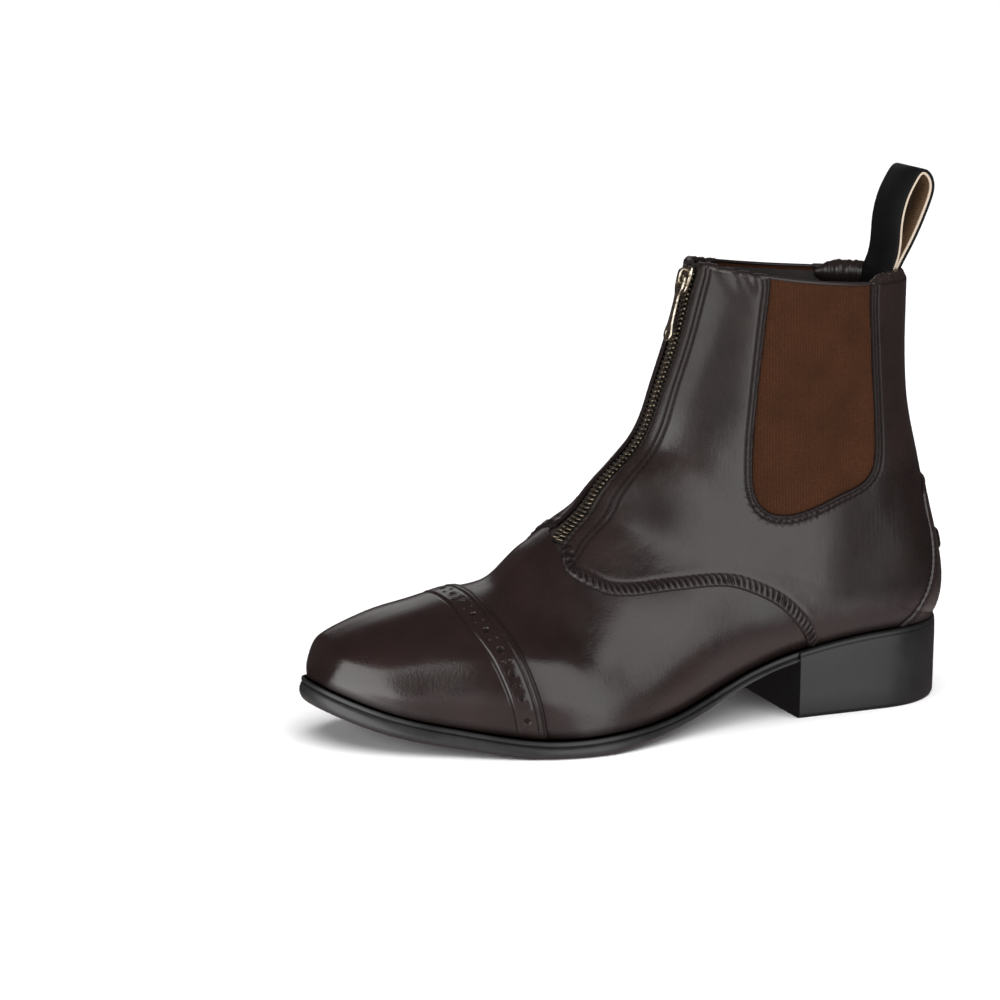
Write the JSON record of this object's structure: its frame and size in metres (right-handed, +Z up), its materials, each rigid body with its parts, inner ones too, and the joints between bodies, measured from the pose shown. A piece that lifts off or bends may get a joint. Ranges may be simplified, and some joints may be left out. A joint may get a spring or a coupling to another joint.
{
  "type": "jodhpur boot",
  "caption": "Left ankle riding boot with a front zip, elastic side gores, toe cap, spur rest, pull loop and moulded rubber sole with a low block heel.",
  "frame": {"origin": "on the floor plane under the middle of the boot's length and width", "axes": "+X from heel to toe, +Y to the outer side of the foot, +Z up"},
  "size_m": [0.2876, 0.1034, 0.2292],
  "materials": {
    "sole": "satin moulded rubber",
    "insole": "matt",
    "upper": "polished",
    "quarters": "polished",
    "toe_cap": "polished",
    "counter": "polished",
    "spur_rest": "polished",
    "gore_outer": "ribbed elastic",
    "gore_inner": "ribbed elastic",
    "zip_tape": "woven",
    "zip_chain": "plain",
    "zip_slider": "plain",
    "zip_pull": "plain",
    "pull_loop": "woven strap"
  },
  "bodies": {
    "boot": {"sole": "sole", "insole": "insole", "upper": "upper", "quarters": "quarters", "toe_cap": "toe_cap", "counter": "counter", "spur_rest": "spur_rest", "gore_outer": "gore_outer", "gore_inner": "gore_inner", "zip_tape": "zip_tape", "zip_chain": "zip_chain", "zip_slider": "zip_slider", "pull_loop": "pull_loop"},
    "pull": {"zip_pull": "zip_pull"}
  },
  "joints": [
    {"name": "zip_pull_hinge", "type": "hinge", "parent": "boot", "child": "pull", "pos_m": [-0.02087, -0.00332, 0.18812], "axis": [0, -1, 0], "range_deg": [0, 150]}
  ]
}
